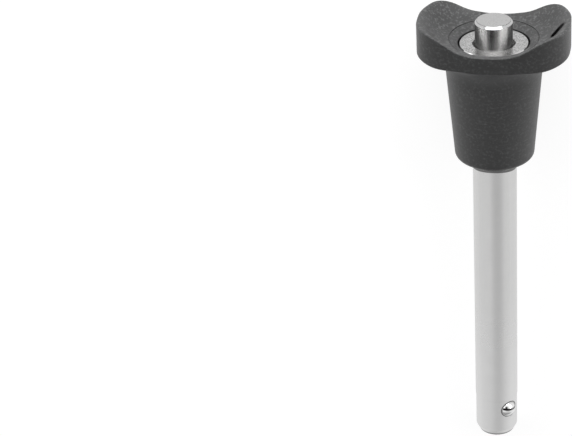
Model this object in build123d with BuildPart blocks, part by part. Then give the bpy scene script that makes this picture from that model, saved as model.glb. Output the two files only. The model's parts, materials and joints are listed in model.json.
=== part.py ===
from build123d import *
from math import atan2, cos, degrees, radians, sin
import os

# A ball lock pin lying on its side, in millimetres.
# Every piece is drawn about the pin's own axis. Stations along that axis count
# from the collar's bearing face, positive towards the button. The wings of the
# head run along X, and the whole pin leans down towards its tip, as it rests.

# ---- shank ----
shank_radius = 8.0
shank_length = 116.7
nose_start = 100.7
nose_relief = 0.16
tip_chamfer_in = 1.2
tip_chamfer_along = 2.4
collar_radius = 10.15
collar_height = 2.6
collar_chamfer = 0.7
core_radius = 9.2
chamber_radius = 7.8
chamber_floor = 14.3
bush_seat = 45.05

# ---- grip ----
grip_bottom = 2.0
cone_bottom_radius = 14.2
cone_top_radius = 17.75
flange_base = 43.2
flange_flat_radius = 23.5
wing_half_length = 27.0
wing_half_width = 19.4
wing_fullness = 2.88
wing_tip_lift = 2.4
disc_radius = wing_half_length + 1.6
well_rim_station = 46.75
crease_radius = 15.9
crease_station = 48.6
crease_half_width = 0.16
crease_depth = 0.22
dish_low_rise = 0.5
dish_mid_rise = 1.45
dish_steep_rise = 3.55
dish_high_rise = 5.9
wing_peak_inset = 0.7
wing_peak_rise = 7.05
wing_edge_drop = 1.65
grip_edge_round = 2.4
flange_edge_round = 1.0
flange_foot = 43.28
rim_edge_round = 0.35
neck_round = 3.6
lanyard_hole_radius = 2.3
lanyard_hole_from_tip = 4.6
grip_fit = 0.1
collar_well_gap = 0.25

# The dish runs from the ring to the wing's peak, with four even points between.
wing_peak_radius = wing_half_length - wing_peak_inset
dish_run = wing_peak_radius - crease_radius
dish_low_radius = crease_radius + dish_run * 13 / 52
dish_mid_radius = crease_radius + dish_run * 23 / 52
dish_steep_radius = crease_radius + dish_run * 33 / 52
dish_high_radius = crease_radius + dish_run * 43 / 52

# ---- guide bush ----
bush_flange_radius = 12.35
bush_face = 46.65
bush_edge_chamfer = 0.3
bush_spigot_radius = 8.2
bush_spigot_end = 37.2
bush_mouth_radius = 7.5
bush_mouth_floor = 42.8
bush_mouth_chamfer = 0.25
bush_well_gap = 0.45
press_gap = 0.02
bush_end_gap = 0.3

# ---- button and spindle ----
button_radius = 6.7
button_top = 55.4
button_chamfer = 0.7
button_chamfer_along = 0.9
button_flange_radius = 7.5
button_flange_height = 5.0
button_stop_gap = 0.05
button_fit = 0.05
spindle_socket_depth = 12.0
socket_end_gap = 0.4
waist_length = 12.0
spindle_radius = 2.6
spindle_land_radius = 3.6
spindle_fit = 0.06
spindle_waist_radius = 1.88
spindle_end_recess = 5.6
upper_land_length = 12.0
press_travel = 5.0

# ---- balls ----
ball_radius = 3.0
over_balls_radius = 9.5
ball_from_tip = 11.6
ball_turn = 45.0
ball_retract = 1.55
pocket_fit = 0.05
pocket_lip_start = 7.0
pocket_lip_radius = 2.74
stake_inner_radius = 3.2
stake_outer_radius = 3.5
stake_depth = 0.15

# ---- spring ----
wire_radius = 0.65
coil_radius = 5.6
coil_turns = 6
spring_seat_gap = 0.05

# ---- derived ----
nose_radius = shank_radius - nose_relief
tip_radius = nose_radius - tip_chamfer_in
bore_radius = spindle_land_radius + spindle_fit
ball_station = shank_length - ball_from_tip
ball_offset = over_balls_radius - ball_radius
cam_slope = ball_retract / press_travel
cam_angle = degrees(atan2(cam_slope, 1.0))
cam_corner = ball_station + ball_radius * sin(radians(cam_angle))
cam_length = (spindle_land_radius - spindle_waist_radius) / cam_slope
button_shoulder = bush_spigot_end - button_stop_gap
button_base = button_shoulder - button_flange_height
well_radius = bush_flange_radius + bush_well_gap
lanyard_hole_offset = wing_half_length - lanyard_hole_from_tip

# The pin rests on the flange's lower edge and on the edge of the tip.
rest_run = flange_foot + shank_length - tip_chamfer_along
rest_rise = wing_half_width - nose_radius
rest_tilt = degrees(atan2(rest_rise, rest_run))
lean_cos = cos(radians(rest_tilt))
lean_sin = sin(radians(rest_tilt))
pin_plane = Plane(origin=(0, 0, 0), x_dir=(1, 0, 0), z_dir=(0, lean_cos, lean_sin))
side_plane = Plane(origin=(0, 0, 0), x_dir=(1, 0, 0), z_dir=(0, -lean_sin, lean_cos))
pin_axis = Axis((0, 0, 0), (0, lean_cos, lean_sin))
ball_centre_line = pin_plane.from_local_coords(Vector(0, 0, -ball_station))
ball_direction = pin_plane.from_local_coords(
    Vector(cos(radians(ball_turn)), -sin(radians(ball_turn)), 0)
)
upper_ball_plane = Plane(ball_centre_line, x_dir=ball_direction, z_dir=pin_plane.z_dir)
lower_ball_plane = Plane(ball_centre_line, x_dir=-ball_direction, z_dir=pin_plane.z_dir)
ball_planes = [upper_ball_plane, lower_ball_plane]

os.makedirs("parts", exist_ok=True)

# The punch mark that stakes the edge of each ball's pocket.
with BuildPart() as stake_marks:
    for ball_plane in ball_planes:
        outward = Plane(
            origin=ball_plane.origin, x_dir=ball_plane.y_dir, z_dir=ball_plane.x_dir
        )
        with BuildSketch(outward.offset(nose_radius - 2.0)):
            Circle(stake_outer_radius)
            Circle(stake_inner_radius, mode=Mode.SUBTRACT)
        extrude(amount=3.0)
    with BuildSketch(pin_plane.offset(-ball_station - 2 * stake_outer_radius)):
        Circle(nose_radius - stake_depth)
    extrude(amount=4 * stake_outer_radius, mode=Mode.SUBTRACT)

# Shank: one turned piece from the spring chamber inside the grip to the tip.
with BuildPart() as shank:
    with BuildSketch(side_plane):
        with BuildLine():
            Polyline(
                (bore_radius, -shank_length),
                (tip_radius, -shank_length),
                (nose_radius, tip_chamfer_along - shank_length),
                (nose_radius, -nose_start - nose_relief),
                (shank_radius, -nose_start),
                (shank_radius, 0),
                (collar_radius - collar_chamfer, 0),
                (collar_radius, collar_chamfer),
                (collar_radius, collar_height),
                (core_radius, collar_height),
                (core_radius, bush_seat),
                (bush_spigot_radius + press_gap, bush_seat),
                (bush_spigot_radius + press_gap, bush_spigot_end - bush_end_gap),
                (chamber_radius, bush_spigot_end - bush_end_gap),
                (chamber_radius, chamber_floor),
                (bore_radius, chamber_floor),
                close=True,
            )
        make_face()
    revolve(axis=pin_axis)
    mouth_edges = shank.edges().filter_by(GeomType.CIRCLE)
    mouth = mouth_edges.filter_by(lambda e: abs(e.radius - bore_radius) < 0.01)
    chamfer(mouth.sort_by(pin_axis)[0], length=0.25)
    for ball_plane in ball_planes:
        pocket_side = Plane(
            origin=ball_plane.origin, x_dir=ball_plane.x_dir, z_dir=-ball_plane.y_dir
        )
        with BuildSketch(pocket_side):
            with BuildLine():
                Polyline(
                    (bore_radius - 1.5, 0),
                    (bore_radius - 1.5, ball_radius + pocket_fit),
                    (pocket_lip_start, ball_radius + pocket_fit),
                    (nose_radius, pocket_lip_radius),
                    (nose_radius + 1.0, pocket_lip_radius),
                    (nose_radius + 1.0, 0),
                    close=True,
                )
            make_face()
        revolve(axis=Axis(ball_plane.origin, ball_plane.x_dir), mode=Mode.SUBTRACT)
    add(stake_marks.part, mode=Mode.SUBTRACT)

# Grip: a moulded cone that flares into a dished head with two wings.
with BuildPart() as grip:
    with BuildSketch(side_plane):
        with BuildLine():
            Polyline(
                (0, well_rim_station),
                (0, grip_bottom),
                (cone_bottom_radius, grip_bottom),
                (cone_top_radius, flange_base),
                (flange_flat_radius, flange_base),
            )
            under_line = Spline(
                (flange_flat_radius, flange_base),
                (disc_radius, flange_base + wing_tip_lift),
                tangents=[(1, 0), (1, 1)],
            )
            dish_line = Spline(
                (crease_radius, crease_station),
                (dish_low_radius, crease_station + dish_low_rise),
                (dish_mid_radius, crease_station + dish_mid_rise),
                (dish_steep_radius, crease_station + dish_steep_rise),
                (dish_high_radius, crease_station + dish_high_rise),
                (wing_peak_radius, crease_station + wing_peak_rise),
                (disc_radius, crease_station + wing_peak_rise - wing_edge_drop),
                tangents=[(1, 0.3), (1, -0.9)],
            )
            Line(under_line @ 1, dish_line @ 1)
            Polyline(
                (crease_radius, crease_station),
                (well_radius, well_rim_station),
                (0, well_rim_station),
            )
        make_face()
    revolve(axis=pin_axis)
    circle_edges = grip.edges().filter_by(GeomType.CIRCLE)
    fillet(circle_edges.sort_by(pin_axis)[0], radius=grip_edge_round)
    neck_edges = grip.edges().filter_by(
        lambda e: (pin_plane.to_local_coords(e @ 0.5) - Vector(0, 0, flange_base)).length
        < cone_top_radius + 0.1
        and abs(pin_plane.to_local_coords(e @ 0.5).Z - flange_base) < 0.01
    )
    fillet(neck_edges, radius=neck_round)
    # The head's outline trims the disc to two blunt wings.
    with BuildSketch(pin_plane):
        with BuildLine():
            outline_points = [
                (
                    wing_half_length * cos(radians(a)) ** (2 / wing_fullness),
                    wing_half_width * sin(radians(a)) ** (2 / wing_fullness),
                )
                for a in (0, 12, 28, 45, 62, 78, 90)
            ]
            Spline(*outline_points, tangents=[(0, 1), (-1, 0)])
            mirror(about=Plane.YZ)
            mirror(about=Plane.XZ)
        make_face()
    extrude(amount=60.0, mode=Mode.INTERSECT)
    long_edges = grip.edges().filter_by(GeomType.BSPLINE).filter_by(lambda e: e.length > 5)
    rim_edges = long_edges.filter_by(
        lambda e: e.length > wing_half_width
        and pin_plane.to_local_coords(e @ 0.5).Z > well_rim_station
    )
    fillet(rim_edges, radius=rim_edge_round)
    long_edges = grip.edges().filter_by(GeomType.BSPLINE).filter_by(lambda e: e.length > 5)
    lower_edges = long_edges.filter_by(
        lambda e: abs(pin_plane.to_local_coords(e @ 0.5).Z - flange_base) < 2.0
    )
    fillet(lower_edges, radius=flange_edge_round)
    # The well for the collar, the bore for the core and the recess for the bush.
    with BuildSketch(side_plane):
        with BuildLine():
            Polyline(
                (0, grip_bottom - 1.0),
                (collar_radius + collar_well_gap, grip_bottom - 1.0),
                (collar_radius + collar_well_gap, collar_height),
                (core_radius + grip_fit, collar_height),
                (core_radius + grip_fit, bush_seat),
                (well_radius, bush_seat),
                (well_radius, well_rim_station + 1.0),
                (0, well_rim_station + 1.0),
                close=True,
            )
        make_face()
    revolve(axis=pin_axis, mode=Mode.SUBTRACT)
    # The fine groove where the ring round the bush meets the dish.
    with BuildSketch(side_plane):
        with BuildLine():
            Polyline(
                (crease_radius - crease_half_width, crease_station + crease_half_width),
                (crease_radius, crease_station - crease_depth),
                (crease_radius + crease_half_width, crease_station + crease_half_width),
                close=True,
            )
        make_face()
    revolve(axis=pin_axis, mode=Mode.SUBTRACT)
    with BuildSketch(pin_plane.offset(flange_base - 5.0)):
        with Locations((lanyard_hole_offset, 0)):
            Circle(lanyard_hole_radius)
    extrude(amount=20.0, mode=Mode.SUBTRACT)

# Guide bush: its flange clamps the grip onto the collar, its bore guides the button.
with BuildPart() as bush:
    with BuildSketch(side_plane):
        with BuildLine():
            Polyline(
                (bush_mouth_radius, bush_face - bush_mouth_chamfer),
                (bush_mouth_radius + bush_mouth_chamfer, bush_face),
                (bush_flange_radius - bush_edge_chamfer, bush_face),
                (bush_flange_radius, bush_face - bush_edge_chamfer),
                (bush_flange_radius, bush_seat),
                (bush_spigot_radius, bush_seat),
                (bush_spigot_radius, bush_spigot_end),
                (button_radius + button_fit, bush_spigot_end),
                (button_radius + button_fit, bush_mouth_floor),
                (bush_mouth_radius, bush_mouth_floor),
                close=True,
            )
        make_face()
    revolve(axis=pin_axis)

# Button: its flange stops it under the bush and takes the spring.
with BuildPart() as button:
    with BuildSketch(side_plane):
        with BuildLine():
            Polyline(
                (spindle_radius + press_gap, button_base),
                (button_flange_radius, button_base),
                (button_flange_radius, button_shoulder),
                (button_radius, button_shoulder),
                (button_radius, button_top - button_chamfer_along),
                (button_radius - button_chamfer, button_top),
                (0, button_top),
                (0, button_base + spindle_socket_depth),
                (spindle_radius + press_gap, button_base + spindle_socket_depth),
                close=True,
            )
        make_face()
    revolve(axis=pin_axis)

# Spindle: a rod with a guide land at each end. The cone beside the lower land
# moves the balls.
with BuildPart() as spindle:
    with BuildSketch(side_plane):
        with BuildLine():
            Polyline(
                (0, button_base + spindle_socket_depth - socket_end_gap),
                (spindle_radius, button_base + spindle_socket_depth - socket_end_gap),
                (spindle_radius, button_base),
                (spindle_land_radius, button_base),
                (spindle_land_radius, chamber_floor - upper_land_length),
                (spindle_radius, chamber_floor - upper_land_length - 1.0),
                (spindle_radius, waist_length - ball_station + 1.0),
                (spindle_waist_radius, waist_length - ball_station),
                (spindle_waist_radius, cam_length - cam_corner),
                (spindle_land_radius, -cam_corner),
                (spindle_land_radius, spindle_end_recess - shank_length + 0.4),
                (spindle_land_radius - 0.4, spindle_end_recess - shank_length),
                (0, spindle_end_recess - shank_length),
                close=True,
            )
        make_face()
    revolve(axis=pin_axis)

# Return spring between the chamber's floor and the button's flange.
with BuildPart() as spring:
    spring_start = chamber_floor + spring_seat_gap + wire_radius
    spring_height = button_base - spring_seat_gap - wire_radius - spring_start
    with BuildLine():
        coil = Helix(
            pitch=spring_height / coil_turns,
            height=spring_height,
            radius=coil_radius,
            center=pin_plane.from_local_coords((0, 0, spring_start)),
            direction=pin_plane.z_dir,
        )
    with BuildSketch(Plane(origin=coil @ 0, z_dir=coil % 0)):
        Circle(wire_radius)
    sweep(path=coil, is_frenet=True)

# The two locking balls, each resting on the corner of the spindle's cone.
with BuildPart(Plane(upper_ball_plane.from_local_coords((ball_offset, 0, 0)))) as ball_upper:
    Sphere(ball_radius)

with BuildPart(Plane(lower_ball_plane.from_local_coords((ball_offset, 0, 0)))) as ball_lower:
    Sphere(ball_radius)

shank.part.label = "shank"
export_step(shank.part, "parts/shank.step")
grip.part.label = "grip"
export_step(grip.part, "parts/grip.step")
bush.part.label = "bush"
export_step(bush.part, "parts/bush.step")
button.part.label = "button"
export_step(button.part, "parts/button.step")
spindle.part.label = "spindle"
export_step(spindle.part, "parts/spindle.step")
spring.part.label = "spring"
export_step(spring.part, "parts/spring.step")
ball_upper.part.label = "ball_upper"
export_step(ball_upper.part, "parts/ball_upper.step")
ball_lower.part.label = "ball_lower"
export_step(ball_lower.part, "parts/ball_lower.step")
print("rest tilt", round(rest_tilt, 3))
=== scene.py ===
import json
from math import atan2, pi, radians, sqrt

import bpy
from mathutils import Matrix, Vector


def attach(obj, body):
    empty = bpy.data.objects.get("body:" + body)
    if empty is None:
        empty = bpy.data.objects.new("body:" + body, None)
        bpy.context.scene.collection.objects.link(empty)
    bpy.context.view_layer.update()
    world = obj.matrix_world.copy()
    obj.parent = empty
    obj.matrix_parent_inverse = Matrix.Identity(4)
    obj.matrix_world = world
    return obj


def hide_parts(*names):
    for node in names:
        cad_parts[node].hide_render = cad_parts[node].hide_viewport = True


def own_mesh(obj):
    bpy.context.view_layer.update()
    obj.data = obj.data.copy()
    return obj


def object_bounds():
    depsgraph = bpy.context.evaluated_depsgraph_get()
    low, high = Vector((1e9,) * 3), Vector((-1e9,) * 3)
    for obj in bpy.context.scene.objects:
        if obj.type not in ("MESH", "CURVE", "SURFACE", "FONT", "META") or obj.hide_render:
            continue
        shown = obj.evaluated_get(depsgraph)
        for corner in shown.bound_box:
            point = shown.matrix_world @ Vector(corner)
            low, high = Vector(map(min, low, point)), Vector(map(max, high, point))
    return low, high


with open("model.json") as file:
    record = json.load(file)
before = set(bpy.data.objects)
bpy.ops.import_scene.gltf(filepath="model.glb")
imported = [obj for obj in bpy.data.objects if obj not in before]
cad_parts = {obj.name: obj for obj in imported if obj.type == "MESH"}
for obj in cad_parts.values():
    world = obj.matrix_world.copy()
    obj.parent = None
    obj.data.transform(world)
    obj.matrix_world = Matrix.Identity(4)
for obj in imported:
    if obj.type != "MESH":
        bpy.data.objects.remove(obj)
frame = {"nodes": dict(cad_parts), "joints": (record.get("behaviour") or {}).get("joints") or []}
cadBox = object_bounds()
nodes = frame["nodes"]

# The pin leans on its own tip, so everything is measured along its axis.
pressJoint = next(joint for joint in frame["joints"] if joint["name"] == "button_press")
pinAxis = -Vector(pressJoint["axis"]).normalized()  # from the tip towards the button
pinLean = atan2(pinAxis.z, pinAxis.y)
mm = 0.001


def stations(name):
    # Lowest and highest place of a CAD node along the pin's axis.
    along = [corner.co.dot(pinAxis) for corner in nodes[name].data.vertices]
    return min(along), max(along)


def reach(name):
    # Greatest distance of a CAD node from the pin's axis.
    return max((corner.co - pinAxis * corner.co.dot(pinAxis)).length
               for corner in nodes[name].data.vertices)


ballStation = sum(stations("ball_upper")) / 2


class Wire:
    # A node's output that can be used in plain sums.
    def __init__(self, finish, socket):
        self.finish = finish
        self.socket = socket

    def __add__(self, other):
        return self.finish.maths("ADD", self, other)

    def __radd__(self, other):
        return self.finish.maths("ADD", other, self)

    def __sub__(self, other):
        return self.finish.maths("SUBTRACT", self, other)

    def __rsub__(self, other):
        return self.finish.maths("SUBTRACT", other, self)

    def __mul__(self, other):
        return self.finish.maths("MULTIPLY", self, other)

    def __rmul__(self, other):
        return self.finish.maths("MULTIPLY", other, self)

    def __truediv__(self, other):
        return self.finish.maths("DIVIDE", self, other)


class Finish:
    # A material, world or any other node tree, and the few kinds of node it is made of.
    def __init__(self, owner):
        owner.use_nodes = True
        self.tree = owner.node_tree
        self.tree.nodes.clear()
        self.owner = owner

    def node(self, kind, settings=None, values=None, output=0):
        made = self.tree.nodes.new(kind)
        for key, value in (settings or {}).items():
            setattr(made, key, value)
        for key, value in (values or {}).items():
            if isinstance(value, Wire):
                self.tree.links.new(value.socket, made.inputs[key])
            else:
                made.inputs[key].default_value = value
        return Wire(self, made.outputs[output]) if made.outputs else None

    def maths(self, operation, *values):
        return self.node("ShaderNodeMath", {"operation": operation}, dict(enumerate(values)))

    def rise(self, value, low, high):
        # 0 below low, 1 above high, and smooth between them.
        return self.node("ShaderNodeMapRange", {"interpolation_type": "SMOOTHSTEP"},
                         {"Value": value, "From Min": low, "From Max": high})

    def band(self, value, centre, half, soft):
        # 1 within half of centre, fading to 0 over soft.
        away = self.maths("ABSOLUTE", value - centre)
        return 1 - self.rise(away, half, half + soft)

    def noise(self, place, size, detail=2.0, roughness=0.5):
        return self.node("ShaderNodeTexNoise", None,
                         {"Vector": place, "Scale": 1 / size, "Detail": detail,
                          "Roughness": roughness})

    def grooves(self, along, pitch):
        # The fine feed marks that a lathe leaves, as heights from 0 to 1.
        return 0.5 + 0.5 * self.maths("SINE", along * (2 * pi / pitch))

    def mixColour(self, factor, first, second):
        return self.node("ShaderNodeMix", {"data_type": "RGBA"},
                         {0: factor, 6: first, 7: second}, output=2)

    def bump(self, height, depth, normal=None):
        values = {"Height": height, "Distance": depth, "Strength": 1.0}
        if normal is not None:
            values["Normal"] = normal
        return self.node("ShaderNodeBump", None, values)

    def pinPlace(self):
        # The place on the piece, with Y along the pin.
        place = self.node("ShaderNodeTexCoord", output=3)
        return self.node("ShaderNodeMapping", {"vector_type": "POINT"},
                         {"Vector": place, "Rotation": (-pinLean, 0.0, 0.0)})

    def split(self, place):
        return [self.node("ShaderNodeSeparateXYZ", None, {"Vector": place}, output=axis)
                for axis in range(3)]

    def join(self, x, y, z):
        return self.node("ShaderNodeCombineXYZ", None, {"X": x, "Y": y, "Z": z})

    def surface(self, **values):
        shader = self.node("ShaderNodeBsdfPrincipled", None,
                           {key.replace("_", " "): value for key, value in values.items()})
        self.node("ShaderNodeOutputMaterial", None, {"Surface": shader})
        return self.owner


def grey(level, warmth=0.0):
    return (level * (1 + warmth), level, level * (1 - warmth), 1.0)


def dress(name, material):
    for place in nodes[name].material_slots:
        place.material = material


gripLook = {
    "shade": 0.011,
    "paleShade": 0.090,
    "grainSize": 0.32 * mm,
    "grainDepth": 0.045 * mm,
    "fleckSize": 0.95 * mm,
    "flowSize": 0.55 * mm,
    "waveSize": 2.6 * mm,
    "waveDepth": 0.035 * mm,
    "roughness": 0.46,
    "wornAndLitShade": 0.096,  # the dish, where the palm rests: wear, and painted light on the faces that face the head
    "wornAndLitFaces": (0.25, 0.60),  # how far a surface faces along the pin, from plain to worn and lit
    # painted highlight along the rounded rim of the dish
    "rimHighlightFaces": (0.30, 0.10, 0.12),
    "patchSize": 9 * mm,
    "darkShade": 0.004,  # painted shade deep in the gap round the bush and in the cord hole
    "gapWidth": 0.50 * mm,
    "holePlace": 22.4 * mm,
    "holeDark": 2.65 * mm,
    "neckHighlightShade": 0.160,  # painted highlight: the cone is paler below the head, and most so at its sides
    "neckLeast": 0.14,
    "neckFront": 0.45,
    "neckReach": 7.0 * mm,
    "neckDrop": 4.0 * mm,
    "neckRadius": 20.0 * mm,
    "neckMiddle": 10.0 * mm,
    "neckSide": 16.7 * mm,
    # painted shade in the crease round the dish, fading towards the front
    "creaseShadowShade": 0.012,
    "creaseShadowShare": 0.75,
    "creaseFade": 0.85,
    "creaseDepth": 0.2 * mm,
    "creaseRadius": 15.9 * mm,
    "creaseHalf": 0.06 * mm,
    "creaseSoft": 0.12 * mm,
    "creaseFades": (-8 * mm, -5 * mm),
}


def makeGripFinish():
    look = gripLook
    finish = Finish(bpy.data.materials.new("mouldedGrip"))
    place = finish.pinPlace()
    x, y, z = finish.split(place)
    grain = finish.noise(place, look["grainSize"], detail=3.0, roughness=0.6)
    fleck = finish.noise(place, look["fleckSize"], detail=2.0)
    flow = finish.noise(finish.join(x * 0.12, y, z * 0.12), look["flowSize"], detail=2.0)
    wave = finish.noise(place, look["waveSize"], detail=2.0)
    patch = finish.noise(place, look["patchSize"], detail=2.0)
    speckle = finish.rise(grain, 0.55, 0.72) * finish.rise(patch, 0.42, 0.62)
    radius = finish.maths("SQRT", x * x + z * z)
    bushFace = stations("bush")[1]
    face = finish.rise(y, bushFace - 0.4 * mm, bushFace)
    # Painted shade in the crease, faded towards the front; the faded mask also cuts the groove.
    crease = finish.band(radius, look["creaseRadius"], look["creaseHalf"], look["creaseSoft"])
    faded = finish.rise(z + x / 6, *look["creaseFades"])
    crease = crease * face * (1 - look["creaseFade"] * faded)
    fleck = finish.rise(fleck, 0.48, 0.72)
    flow = finish.rise(flow, 0.58, 0.75)
    tone = 0.12 * patch + 0.16 * grain + 0.20 * speckle + 0.30 * fleck + 0.22 * flow
    shade = finish.mixColour(tone, grey(look["shade"]), grey(look["paleShade"], -0.01))
    facing = finish.node("ShaderNodeTexCoord", output=1)
    upward = finish.node("ShaderNodeVectorMath", {"operation": "DOT_PRODUCT"},
                         {0: facing, 1: pinAxis}, output=1)
    # The dish is paler, partly from wear and partly from painted light on the faces that face the
    # head; its rounded rim gets a painted highlight.
    wear = 0.02 + 0.15 * patch + 0.15 * grain + 0.75 * fleck
    wornAndLit = face * finish.rise(upward, *look["wornAndLitFaces"]) * wear
    wear = 0.15 + 0.7 * flow + 0.3 * fleck
    rimHighlight = face * finish.band(upward, *look["rimHighlightFaces"]) * wear
    wornAndLit = finish.maths("MAXIMUM", wornAndLit, rimHighlight)
    shade = finish.mixColour(wornAndLit, shade, grey(look["wornAndLitShade"], -0.01))
    # Painted highlight on the cone below the head, strongest at its sides.
    neckTop = bushFace - look["neckDrop"]
    rising = finish.rise(y, neckTop - look["neckReach"], neckTop)
    neckHighlight = look["neckLeast"] + (1 - look["neckLeast"]) * rising
    neckHighlight = neckHighlight * (1 - finish.rise(radius, look["neckRadius"], look["neckRadius"] + 1.0 * mm))
    neckHighlight = neckHighlight * (1 - finish.rise(y, neckTop + 0.3 * mm, neckTop + 0.8 * mm))
    side = finish.rise(x * x, look["neckMiddle"] ** 2, look["neckSide"] ** 2)
    neckHighlight = neckHighlight * (look["neckFront"] + (1 - look["neckFront"]) * side) * (1 - face)
    shade = finish.mixColour(neckHighlight, shade, grey(look["neckHighlightShade"], -0.01))
    shade = finish.mixColour(crease * look["creaseShadowShare"], shade, grey(look["creaseShadowShade"]))
    # Painted shade inside the cord hole and in the gap round the bush.
    aside = x - look["holePlace"]
    fromHole = finish.maths("SQRT", aside * aside + z * z)
    holeShadow = 1 - finish.rise(fromHole, look["holeDark"], look["holeDark"] + 0.25 * mm)
    shade = finish.mixColour(holeShadow, shade, grey(look["darkShade"]))
    gapEdge = reach("bush") + look["gapWidth"]
    recessShadow = 1 - finish.rise(radius, gapEdge, gapEdge + 0.10 * mm)
    shade = finish.mixColour(recessShadow, shade, grey(look["darkShade"]))
    rough = look["roughness"] + 0.16 * (grain - 0.5) + 0.08 * (patch - 0.5)
    normal = finish.bump(wave, look["waveDepth"])
    normal = finish.bump(grain, look["grainDepth"], normal=normal)
    normal = finish.bump(1 - crease, look["creaseDepth"], normal=normal)
    return finish.surface(Base_Color=shade, Roughness=rough, Normal=normal, IOR=1.5)


shankLook = {
    "shade": 0.66,
    "darkShade": 0.58,
    # painted highlight: the collar's wall is paler than the shank
    "collarHighlightShade": 0.75,
    "collarEdgeShadow": 0.10,  # painted shade on the collar's lower edge, and the painted shadow of the collar on the shank below it
    "collarLine": (0.35 * mm, 0.25 * mm, 0.1 * mm),
    # painted shadow of the collar on the shank below it
    "collarShadowShade": 0.10,
    "collarShadowShare": 0.9,
    "underReach": 1.40 * mm,
    "underWave": 15.0,  # the painted shadow reaches further where the grip's edge curves away
    "ringSize": 0.16 * mm,
    "ringDepth": 0.020 * mm,
    "roughness": 0.24,
    "radius": 8.0 * mm,
    "tipShadowShade": 0.05,  # painted shade round the tip's end face
    "tipShadowShare": 0.65,
    "lineFades": (0.5 * mm, 1.3 * mm),
    "lineInner": 6.2 * mm,
    "paleFrom": -45 * mm,  # painted light: the shank's colour is brighter towards its tip, and the steel is also duller there
    "paleTo": -108 * mm,
    "paleShade": 0.84,
    "paleLightShare": 0.35,
    # painted shade at the staked edge round each ball
    "stakeShadowShade": 0.08,
    "stakeShadowShare": 0.8,
    "stakeRadius": 3.25 * mm,
    "stakeHalf": 0.13 * mm,
    "stakeSoft": 0.12 * mm,
    "broadSize": 6 * mm,
    "cloudSize": 5 * mm,
}


def makeShankFinish():
    look = shankLook
    finish = Finish(bpy.data.materials.new("groundSteel"))
    place = finish.pinPlace()
    x, y, z = finish.split(place)
    rings = finish.noise(finish.join(x * 0.02, y, z * 0.02), look["ringSize"], detail=3.0)
    broad = finish.noise(finish.join(x * 0.1, y, z * 0.1), look["broadSize"], detail=3.0)
    cloud = finish.noise(place, look["cloudSize"], detail=3.0)
    tone = 0.5 * rings + 0.5 * broad
    shade = finish.mixColour(tone, grey(look["darkShade"], 0.004), grey(look["shade"], 0.002))
    radius = finish.maths("SQRT", x * x + z * z)
    collar = finish.rise(radius, look["radius"] + 0.2 * mm, look["radius"] + 0.4 * mm)
    # The collar's wall gets a painted highlight and its lower edge painted shade.
    ring = finish.mixColour(finish.band(y, *look["collarLine"]),
                            grey(look["collarHighlightShade"]), grey(look["collarEdgeShadow"]))
    # Painted shadow of the collar on the shank just below it.
    reached = y + look["underReach"] + x * x * look["underWave"]
    collarShadow = finish.rise(reached, -0.12 * mm, 0.0) * look["collarShadowShare"]
    shade = finish.mixColour(collarShadow, shade, grey(look["collarShadowShade"]))
    shade = finish.mixColour(collar, shade, ring)
    # Painted shade in a dark line round the tip's end face.
    tip = stations("shank")[0]
    tipShadow = 1 - finish.rise(y - tip, *look["lineFades"])
    tipShadow = tipShadow * finish.rise(radius, look["lineInner"], look["lineInner"] + 0.2 * mm)
    # Painted light paling the shank towards its tip.
    pale = 1 - finish.rise(y, look["paleTo"], look["paleFrom"])
    shade = finish.mixColour(pale * look["paleLightShare"], shade, grey(look["paleShade"]))
    shade = finish.mixColour(tipShadow * look["tipShadowShare"], shade, grey(look["tipShadowShade"]))
    # Painted shade in the gap at the staked edge round each ball. The balls lie halfway between X
    # and Z.
    across = (x - z) * sqrt(0.5)
    along = y - ballStation
    fromBall = finish.maths("SQRT", across * across + along * along)
    stakeShadow = finish.band(fromBall, look["stakeRadius"], look["stakeHalf"], look["stakeSoft"])
    shade = finish.mixColour(stakeShadow * look["stakeShadowShare"], shade, grey(look["stakeShadowShade"]))
    rough = look["roughness"] + 0.10 * (broad - 0.5) + 0.08 * (cloud - 0.5)
    rough = rough + 0.10 * pale
    normal = finish.bump(rings, look["ringDepth"])
    return finish.surface(Base_Color=shade, Metallic=1.0, Roughness=rough, Normal=normal)


bushLook = {
    "shade": 0.56,
    "darkShade": 0.26,
    "edgeShade": 0.60,
    "buttonReflectionShade": 0.14,  # painted reflection of the button, dark and streaked, on one side of the face
    "buttonReflectionShare": 0.4,
    "buttonReflectionSize": 0.16,
    "buttonReflectionHalf": 0.45,
    "buttonReflectionSoft": 0.35,
    "edgeWidth": 0.45 * mm,
    "cloudSize": 3 * mm,
    "pitSize": 0.45 * mm,
    "pitDepth": 0.004 * mm,
    "roughness": 0.20,
}


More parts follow.
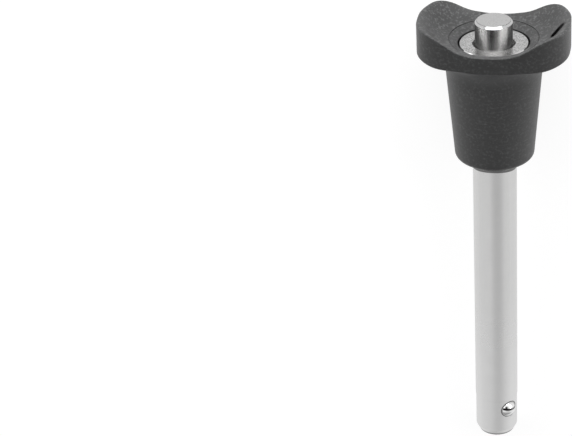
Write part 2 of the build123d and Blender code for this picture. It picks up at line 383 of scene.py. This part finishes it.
def makeBushFinish():
    look = bushLook
    finish = Finish(bpy.data.materials.new("blastedSteel"))
    place = finish.pinPlace()
    x, y, z = finish.split(place)
    radius = finish.maths("SQRT", x * x + z * z)
    pits = finish.noise(place, look["pitSize"], detail=4.0, roughness=0.65)
    cloud = finish.noise(place, look["cloudSize"], detail=2.0)
    edgeStart = reach("bush") - look["edgeWidth"]
    edge = finish.rise(radius, edgeStart, edgeStart + 0.15 * mm)
    tone = finish.rise(pits, 0.36, 0.62) * 0.8 + 0.2 * cloud
    shade = finish.mixColour(tone, grey(look["darkShade"], 0.003), grey(look["shade"], 0.003))
    # Painted reflection of the button's dark streaks on one side of the face.
    angle = finish.maths("ARCTAN2", x, z)
    streak = finish.noise(finish.join(angle, 0.0, 0.0), look["buttonReflectionSize"], detail=2.0)
    buttonReflection = finish.band(angle, 0.0, look["buttonReflectionHalf"], look["buttonReflectionSoft"])
    buttonReflection = buttonReflection * (0.5 + 0.5 * finish.rise(streak, 0.4, 0.6))
    shade = finish.mixColour(edge, shade, grey(look["edgeShade"]))
    shade = finish.mixColour(buttonReflection * look["buttonReflectionShare"], shade, grey(look["buttonReflectionShade"]))
    rough = look["roughness"] + 0.2 * (pits - 0.5) - 0.12 * edge
    normal = finish.bump(pits * (1 - edge), look["pitDepth"])
    return finish.surface(Base_Color=shade, Metallic=1.0, Roughness=rough, Normal=normal)


buttonLook = {
    "shade": 0.60,
    "darkShade": 0.48,
    # painted shade: the side, top and chamfer each get their own shade of the button's steel, set
    # to how each face is lit
    "paintedSideShade": 0.40,
    "paintedSideDark": 0.33,
    "ringSize": 0.16 * mm,
    "ringDepth": 0.004 * mm,
    "feed": 0.12 * mm,
    "feedDepth": 0.008 * mm,
    "feedLean": 0.30,  # the marks lean towards the head
    "roughness": 0.14,
    "chamfer": 0.9 * mm,
    "cloudSize": 2.5 * mm,
    "paintedTopShade": 0.32,
    "topShare": 0.3,
    "paintedChamferShade": 0.52,
    "chamferLean": 0.32,  # its sheen faces the head
}


def makeButtonFinish():
    look = buttonLook
    finish = Finish(bpy.data.materials.new("turnedButton"))
    place = finish.pinPlace()
    x, y, z = finish.split(place)
    radius = finish.maths("SQRT", x * x + z * z)
    head = stations("button")[1]
    top = finish.rise(y, head - 0.1 * mm, head - 0.03 * mm)
    side = 1 - finish.rise(y, head - look["chamfer"] - 0.04 * mm, head - look["chamfer"])
    rings = finish.noise(finish.join(radius, y, 0.0), look["ringSize"], detail=3.0)
    cloud = finish.noise(place, look["cloudSize"], detail=3.0)
    tone = 0.45 * rings + 0.55 * cloud
    shade = finish.mixColour(tone, grey(look["darkShade"], 0.004), grey(look["shade"], 0.002))
    # Painted shade: the side, top and chamfer get their own shades of the steel.
    paintedSideShade = finish.mixColour(tone, grey(look["paintedSideDark"], 0.012),
                                 grey(look["paintedSideShade"], 0.010))
    shade = finish.mixColour(side, shade, paintedSideShade)
    chamfer = (1 - side) * (1 - top)
    shade = finish.mixColour(top * look["topShare"], shade, grey(look["paintedTopShade"]))
    shade = finish.mixColour(chamfer, shade, grey(look["paintedChamferShade"]))
    rough = look["roughness"] + 0.14 * top + 0.08 * side + 0.10 * (cloud - 0.5)
    normal = finish.bump(-look["feedLean"] * y * side, 1.0)
    normal = finish.bump(-look["chamferLean"] * y * chamfer, 1.0, normal=normal)
    normal = finish.bump(finish.grooves(y, look["feed"]) * side, look["feedDepth"], normal=normal)
    normal = finish.bump(rings, look["ringDepth"], normal=normal)
    return finish.surface(Base_Color=shade, Metallic=1.0, Roughness=rough, Normal=normal)


ballLook = {
    "shade": 0.80,
    "darkShade": 0.74,
    "roughness": 0.05,
    "shadowLineShade": 0.03,  # painted shade: a dark line across each ball
    "shadowLineShare": 0.85,
    "shadowLinePlace": 0.75 * mm,
    "shadowLineHalf": 0.22 * mm,
    "shadowLineSoft": 0.20 * mm,
    "scratchSize": 0.25 * mm,
    "scratchDepth": 0.0004 * mm,
}


def makeBallFinish():
    look = ballLook
    finish = Finish(bpy.data.materials.new("polishedBall"))
    place = finish.pinPlace()
    scuff = finish.noise(place, look["scratchSize"], detail=4.0)
    shade = finish.mixColour(scuff, grey(look["darkShade"]), grey(look["shade"]))
    along = finish.split(place)[1] - ballStation
    # Painted shade: a dark line across each ball.
    shadowLine = finish.band(along, look["shadowLinePlace"], look["shadowLineHalf"], look["shadowLineSoft"])
    shade = finish.mixColour(shadowLine * look["shadowLineShare"], shade, grey(look["shadowLineShade"]))
    rough = look["roughness"] + 0.05 * finish.rise(scuff, 0.5, 0.75)
    normal = finish.bump(scuff, look["scratchDepth"])
    return finish.surface(Base_Color=shade, Metallic=1.0, Roughness=rough, Normal=normal)


spindleLook = {
    "shade": 0.50,
    "darkShade": 0.36,
    "ringSize": 0.18 * mm,
    "ringDepth": 0.002 * mm,
    "cloudSize": 2 * mm,
    "roughness": 0.34,
}


def makeSpindleFinish():
    look = spindleLook
    finish = Finish(bpy.data.materials.new("turnedSpindle"))
    place = finish.pinPlace()
    x, y, z = finish.split(place)
    rings = finish.noise(finish.join(x * 0.02, y, z * 0.02), look["ringSize"], detail=3.0)
    cloud = finish.noise(place, look["cloudSize"], detail=3.0)
    tone = 0.5 * rings + 0.5 * cloud
    shade = finish.mixColour(tone, grey(look["darkShade"], 0.006), grey(look["shade"], 0.004))
    rough = look["roughness"] + 0.10 * (cloud - 0.5)
    normal = finish.bump(rings, look["ringDepth"])
    return finish.surface(Base_Color=shade, Metallic=1.0, Roughness=rough, Normal=normal)


springLook = {
    "shade": 0.46,
    "darkShade": 0.28,
    "drawSize": 0.3 * mm,
    "drawDepth": 0.003 * mm,
    "cloudSize": 2 * mm,
    "roughness": 0.36,
}


def makeSpringFinish():
    look = springLook
    finish = Finish(bpy.data.materials.new("springWire"))
    place = finish.pinPlace()
    x, y, z = finish.split(place)
    drawn = finish.noise(finish.join(x * 0.15, y, z * 0.15), look["drawSize"], detail=3.0)
    cloud = finish.noise(place, look["cloudSize"], detail=3.0)
    shade = finish.mixColour(drawn * 0.6 + cloud * 0.4, grey(look["darkShade"], 0.012),
                             grey(look["shade"], 0.008))
    rough = look["roughness"] + 0.12 * (cloud - 0.5)
    normal = finish.bump(drawn, look["drawDepth"])
    return finish.surface(Base_Color=shade, Metallic=1.0, Roughness=rough, Normal=normal)


dress("grip", makeGripFinish())
dress("shank", makeShankFinish())
dress("bush", makeBushFinish())
dress("button", makeButtonFinish())
dress("spindle", makeSpindleFinish())
ballFinish = makeBallFinish()
dress("ball_upper", ballFinish)
dress("ball_lower", ballFinish)
print("finishes assigned")


springShape = {
    "wireRadius": 0.65 * mm,
    "coilRadius": 5.6 * mm,
    "activeTurns": 4,
    "closedTurns": 1,
    "stepsPerTurn": 48,
    "wireSides": 14,
    "squeezed": 5.0 * mm,
}


def pickNothing():
    if bpy.context.object and bpy.context.object.mode != "OBJECT":
        bpy.ops.object.mode_set(mode="OBJECT")
    bpy.ops.object.select_all(action="DESELECT")


def coilRun(turns, pitch, start):
    # One run of whole turns, wound round Z from the given height.
    shape = springShape
    pickNothing()
    bpy.ops.mesh.primitive_circle_add(
        vertices=shape["wireSides"], radius=shape["wireRadius"],
        location=(shape["coilRadius"], 0.0, start), rotation=(pi / 2, 0.0, 0.0))
    run = bpy.context.object
    bpy.ops.object.transform_apply(location=True, rotation=True, scale=True)
    wind = run.modifiers.new("wind", "SCREW")
    wind.axis = "Z"
    wind.angle = 2 * pi * turns
    wind.screw_offset = pitch * turns
    wind.steps = shape["stepsPerTurn"] * turns
    wind.render_steps = shape["stepsPerTurn"] * turns
    bpy.ops.object.modifier_apply(modifier="wind")
    return run


def buildSpring():
    shape = springShape
    low, high = stations("spring")
    closedPitch = 2 * shape["wireRadius"] * 1.01
    closedRise = closedPitch * shape["closedTurns"]
    # The end turns are ground flat, so the wire's middle starts on the seat's plane.
    activeRise = (high - low) - 2 * closedRise
    activePitch = activeRise / shape["activeTurns"]
    runs = [coilRun(shape["closedTurns"], closedPitch, low),
            coilRun(shape["activeTurns"], activePitch, low + closedRise),
            coilRun(shape["closedTurns"], closedPitch, high - closedRise)]
    pickNothing()
    for run in runs:
        run.select_set(True)
    bpy.context.view_layer.objects.active = runs[0]
    bpy.ops.object.join()
    spring = bpy.context.object
    spring.name = "returnSpring"
    spring.data.name = "returnSpring"
    bpy.ops.object.mode_set(mode="EDIT")
    bpy.ops.mesh.select_all(action="SELECT")
    bpy.ops.mesh.remove_doubles(threshold=0.02 * mm)
    bpy.ops.mesh.select_all(action="SELECT")
    bpy.ops.mesh.bisect(plane_co=(0, 0, low), plane_no=(0, 0, 1), clear_inner=True, use_fill=True)
    bpy.ops.mesh.select_all(action="SELECT")
    bpy.ops.mesh.bisect(plane_co=(0, 0, high), plane_no=(0, 0, 1), clear_outer=True, use_fill=True)
    bpy.ops.mesh.select_all(action="SELECT")
    bpy.ops.mesh.normals_make_consistent(inside=False)
    bpy.ops.object.mode_set(mode="OBJECT")
    spring.matrix_world = Matrix.Rotation(pinLean - pi / 2, 4, "X")
    bpy.ops.object.transform_apply(location=True, rotation=True, scale=True)
    bpy.ops.object.shade_smooth_by_angle(angle=radians(50))
    spring.data.materials.append(makeSpringFinish())
    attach(spring, "body")
    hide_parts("spring")
    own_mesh(spring)
    return spring


buildSpring()
print("spring built")


stageLook = {
    "floorShade": 0.80,
    "floorSize": 6.0,
    "whiteShare": 0.72,
    "shinyShare": 0.90,
    "whiteLevel": 1.20,
}


def isSeen(finish):
    # 1 for what the camera, a reflection or a clear view meets.
    seen = finish.node("ShaderNodeLightPath", output=0)
    shiny = finish.node("ShaderNodeLightPath", output=3)
    through = finish.node("ShaderNodeLightPath", output=6)
    shiny = shiny * stageLook["shinyShare"]
    return finish.maths("MAXIMUM", finish.maths("MAXIMUM", seen, shiny), through)


def buildFloor():
    look = stageLook
    pickNothing()
    bpy.ops.mesh.primitive_plane_add(size=look["floorSize"], location=(0, 0, cadBox[0].z))
    floor = bpy.context.object
    floor.name = "floor"
    bpy.ops.object.transform_apply(location=True)
    finish = Finish(bpy.data.materials.new("paleFloor"))
    matte = finish.node("ShaderNodeBsdfDiffuse", None, {"Color": grey(look["floorShade"])})
    white = finish.node("ShaderNodeEmission", None,
                        {"Color": grey(1.0), "Strength": look["whiteLevel"]})
    surface = finish.node("ShaderNodeMixShader", None,
                          {0: isSeen(finish) * look["whiteShare"], 1: matte, 2: white})
    finish.node("ShaderNodeOutputMaterial", None, {"Surface": surface})
    floor.data.materials.append(finish.owner)


worldLook = {
    "light": 0.55,
    "reflected": 0.95,
    "ceiling": (0.30, -0.20, 0.90),  # where the studio's ceiling is darkest
    "ceilingDepth": 0.27,
    "ceilingInner": 0.97,
    "ceilingOuter": 0.72,
    "gapCentre": radians(-6),  # a dark gap between the lamps, over the head
    "gapHalf": radians(12),
    "gapWide": radians(58),  # how much wider it is towards the tip
    "gapNarrows": (-0.06, 0.22),
    "gapStarts": (-0.38, -0.20),
    "gapEnds": (0.5, 0.7),
    "gapSoft": radians(12),
    "gapDepth": 0.96,
    "farDepth": 0.60,  # the studio's far end, beyond the tip, is dimmer
    "farStarts": (-0.60, -0.95),
}


def buildWorld():
    world = bpy.data.worlds.new("softStudio")
    bpy.context.scene.world = world
    finish = Finish(world)
    look = worldLook
    way = finish.node("ShaderNodeTexCoord", output=0)
    toCeiling = finish.node("ShaderNodeVectorMath", {"operation": "DOT_PRODUCT"},
                            {0: way, 1: Vector(look["ceiling"]).normalized()}, output=1)
    dim = 1 - look["ceilingDepth"] * finish.rise(toCeiling, look["ceilingOuter"],
                                                 look["ceilingInner"])
    x, y, z = finish.split(way)
    half = look["gapHalf"] + look["gapWide"] * (1 - finish.rise(y, *look["gapNarrows"]))
    gap = finish.band(finish.maths("ARCTAN2", x, z), look["gapCentre"], half, look["gapSoft"])
    gap = gap * finish.rise(y, *look["gapStarts"]) * (1 - finish.rise(y, *look["gapEnds"]))
    gap = gap * look["gapDepth"]
    far = finish.rise(y, *look["farStarts"]) * look["farDepth"]
    dim = dim * (1 - gap) * (1 - far)
    camera = finish.node("ShaderNodeLightPath", output=0)
    shiny = finish.node("ShaderNodeLightPath", output=3)
    lit = shiny * (look["reflected"] - look["light"]) + look["light"]
    level = camera + (1 - camera) * lit * dim
    back = finish.node("ShaderNodeBackground", None, {"Color": grey(1.0), "Strength": level})
    finish.node("ShaderNodeOutputWorld", None, {"Surface": back})


lampLook = {
    # name: (place, width, height, radiance)
    "leftBox": ((-0.80, 0.45, 0.35), 0.6, 0.9, 2.4),
    "rightBox": ((0.80, 0.40, 0.30), 0.6, 0.9, 2.3),
    "headBox": ((0.05, 1.00, 0.33), 1.1, 0.6, 4.6),
}


def buildLamps():
    centre = (cadBox[0] + cadBox[1]) / 2
    for name, (place, width, height, radiance) in lampLook.items():
        lamp = bpy.data.lights.new(name, "AREA")
        lamp.shape = "RECTANGLE"
        lamp.size = width
        lamp.size_y = height
        lamp.energy = radiance * pi * width * height
        holder = bpy.data.objects.new(name, lamp)
        bpy.context.scene.collection.objects.link(holder)
        holder.location = place
        holder.rotation_euler = (centre - Vector(place)).to_track_quat("-Z", "Y").to_euler()


cameraLook = {
    "place": (0.08326, 0.32490, 0.73765),
    "turn": (-25.497, 11.329, -2.251),
    "lens": 139.71,
    "sensor": 36.0,
}


def buildCamera():
    look = cameraLook
    lens = bpy.data.cameras.new("camera")
    lens.lens = look["lens"]
    lens.sensor_width = look["sensor"]
    lens.clip_start = 0.01
    holder = bpy.data.objects.new("camera", lens)
    bpy.context.scene.collection.objects.link(holder)
    holder.location = look["place"]
    holder.rotation_euler = [radians(turn) for turn in look["turn"]]
    bpy.context.scene.camera = holder


buildFloor()
buildWorld()
buildLamps()
buildCamera()
bpy.context.scene.view_settings.view_transform = "Standard"
print("stage and camera set")
